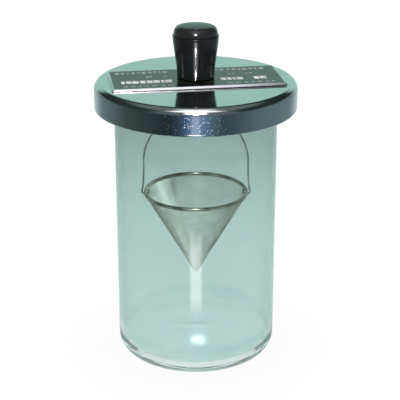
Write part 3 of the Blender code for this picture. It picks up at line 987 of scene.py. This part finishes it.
class Sky:
    """The nodes of the world, its directions as angles, and methods that take limits in degrees."""

    def __init__(self):
        self.world = bpy.data.worlds.new("studio")
        bpy.context.scene.world = self.world
        self.world.use_nodes = True
        self.tree = self.world.node_tree
        self.tree.nodes.clear()
        split = self.node("ShaderNodeSeparateXYZ")
        self.link(self.node("ShaderNodeTexCoord").outputs["Generated"], split.inputs[0])
        x, y, z = split.outputs
        azimuth = self.math("ARCTAN2", x, self.math("MULTIPLY", y, -1.0))
        self.elevation = self.math("ARCSINE", z)
        self.aside = self.math("ABSOLUTE", azimuth)
        self.turn = self.math("ADD", self.math("DIVIDE", azimuth, 2.0 * math.pi), 0.5)

    def node(self, kind, **settings):
        made = self.tree.nodes.new(kind)
        for key, value in settings.items():
            setattr(made, key, value)
        return made

    def link(self, source, target):
        self.tree.links.new(source, target)

    def math(self, operation, first, second=None):
        made = self.node("ShaderNodeMath", operation=operation)
        for socket, value in zip(made.inputs, (first, second)):
            if isinstance(value, float):
                socket.default_value = value
            elif value is not None:
                self.link(value, socket)
        return made.outputs[0]

    def both(self, first, second):
        return self.math("MULTIPLY", first, second)

    def step(self, angle, low, high):
        """0 up to low and 1 from high; where high is the smaller of the two, it falls instead."""
        made = self.node("ShaderNodeMapRange", interpolation_type="SMOOTHSTEP")
        made.inputs["From Min"].default_value = low * DEGREE
        made.inputs["From Max"].default_value = high * DEGREE
        self.link(angle, made.inputs["Value"])
        return made.outputs["Result"]

    def band(self, angle, low, high, soft):
        """1 between low and high, falling to 0 over soft on both sides."""
        return self.math("SUBTRACT", self.step(angle, low - soft, low), self.step(angle, high, high + soft))

    def patch(self, edge, core, low, high, soft):
        """1 in a patch whose sides fade from core out to edge, and whose ends fade over soft."""
        return self.both(self.step(self.aside, edge, core), self.band(self.elevation, low, high, soft))

    def mix(self, share, first, second):
        made = self.node("ShaderNodeMix", data_type="RGBA")
        self.link(share, made.inputs[0])
        for socket, value in ((made.inputs[6], first), (made.inputs[7], second)):
            if isinstance(value, tuple):
                socket.default_value = (*value, 1.0)
            else:
                self.link(value, socket)
        return made.outputs[2]

    def ramp(self, value, stops):
        made = self.node("ShaderNodeValToRGB")
        elements = made.color_ramp.elements
        while len(elements) < len(stops):
            elements.new(0.5)
        for element, (position, color) in zip(elements, stops):
            element.position = position
            element.color = (*color, 1.0)
        self.link(value, made.inputs["Fac"])
        return made.outputs["Color"]


def mirrored_room(sky):
    """The room that mirrors see: dark above, with a pale wall behind and bright patches in front."""
    room = sky.ramp(sky.turn, ROOM)
    sides = sky.mix(sky.step(sky.elevation, 6.0, 16.0), room, SHADE)
    wall = sky.mix(sky.step(sky.elevation, -3.0, 3.0), room, BACK_WALL)
    back = sky.mix(sky.step(sky.elevation, 19.0, 30.0), wall, SHADE)
    color = sky.mix(sky.step(sky.aside, 138.0, 152.0), sides, back)
    color = sky.mix(sky.step(sky.elevation, 42.0, 58.0), color, UPPER_SHADE)
    front = sky.both(sky.step(sky.aside, 60.0, 35.0), sky.step(sky.elevation, -2.0, 4.0))
    color = sky.mix(front, color, FRONT_SHADE)
    color = sky.mix(sky.patch(11.0, 5.0, -25.9, -23.7, 1.1), color, STRIP)
    color = sky.mix(sky.patch(8.0, 1.0, -22.0, -10.0, 2.0), color, STREAK)
    color = sky.mix(sky.step(sky.elevation, 76.0, 82.0), color, ZENITH)
    return sky.mix(sky.patch(50.0, 28.0, 52.0, 76.0, 8.0), color, GLOW)


def build_world():
    """Plain light for everything, and the room for mirror reflections.

    What the glass lets through counts as glossy too: it sees a dimmer front, the halo and the glint.
    """
    sky = Sky()
    room = mirrored_room(sky)
    path = sky.node("ShaderNodeLightPath")
    glossy = path.outputs["Is Glossy Ray"]
    mirrored = sky.both(glossy, sky.math("SUBTRACT", 1.0, path.outputs["Is Transmission Ray"]))
    front = sky.both(sky.step(sky.aside, 110.0, 80.0), sky.step(sky.elevation, 12.0, 22.0))
    plain = sky.mix(sky.both(front, glossy), PLAIN, PLAIN_DIM)
    color = sky.mix(mirrored, plain, room)
    seen = sky.math("MAXIMUM", mirrored, sky.math("MULTIPLY", glossy, HALO_IN_GLASS))
    color = sky.mix(sky.both(sky.patch(16.0, 6.0, 24.0, 44.0, 5.0), seen), color, HALO)
    color = sky.mix(sky.both(sky.patch(178.9, 179.8, 27.85, 28.0, 0.4), glossy), color, GLINT)
    background = sky.node("ShaderNodeBackground")
    sky.link(color, background.inputs["Color"])
    output = sky.node("ShaderNodeOutputWorld")
    sky.link(background.outputs[0], output.inputs["Surface"])


def build_stage():
    signs = ((-1.0, -1.0), (1.0, -1.0), (1.0, 1.0), (-1.0, 1.0))
    corners = [(x * FLOOR_HALF, y * FLOOR_HALF, -FLOOR_DROP) for x, y in signs]
    floor = make_object("floor", corners, [(0, 1, 2, 3)], pale_floor())
    floor.visible_glossy = False


def build_lamp():
    """A small lamp a little above the camera, for the highlights."""
    data = bpy.data.lights.new("lamp", "AREA")
    data.shape = "RECTANGLE"
    data.size = LAMP_WIDTH
    data.size_y = LAMP_HEIGHT
    data.energy = LAMP_RADIANCE * math.pi * LAMP_WIDTH * LAMP_HEIGHT
    data.color = LAMP_COLOR
    lamp = bpy.data.objects.new("lamp", data)
    lamp.location = LAMP_AIM + LAMP_DISTANCE * Vector((0.0, -math.cos(LAMP_RISE), math.sin(LAMP_RISE)))
    lamp.rotation_euler = (math.pi / 2.0 - LAMP_RISE, 0.0, 0.0)
    lamp.visible_diffuse = False
    bpy.context.scene.collection.objects.link(lamp)


def build_camera():
    data = bpy.data.cameras.new("camera")
    data.lens = LENS
    data.sensor_width = SENSOR
    data.clip_start = 0.01
    data.clip_end = 50.0
    camera = bpy.data.objects.new("camera", data)
    camera.location = CAMERA_PLACE
    camera.rotation_euler = (math.pi / 2.0 - CAMERA_PITCH, 0.0, 0.0)
    bpy.context.scene.collection.objects.link(camera)
    bpy.context.scene.camera = camera


def set_view():
    scene = bpy.context.scene
    scene.view_settings.view_transform = "Standard"
    scene.cycles.use_denoising = True
    scene.cycles.caustics_reflective = False
    scene.cycles.caustics_refractive = False
    scene.cycles.max_bounces = 64
    scene.cycles.transmission_bounces = 64
    scene.cycles.glossy_bounces = 64
    scene.cycles.transparent_max_bounces = 16


def build():
    hanger = steel("hanger_look", (0.42, 0.42, 0.40), (0.66, 0.66, 0.63), 0.2, 140.0)
    build_jar()
    build_lid()
    build_seal()
    build_plate()
    build_knob()
    build_cap()
    build_insert()
    build_washers(hanger)
    build_nut(hanger)
    build_hook(hanger)
    build_bail()
    build_rim()
    build_weave()
    build_world()
    build_stage()
    build_lamp()
    build_camera()
    set_view()


build()
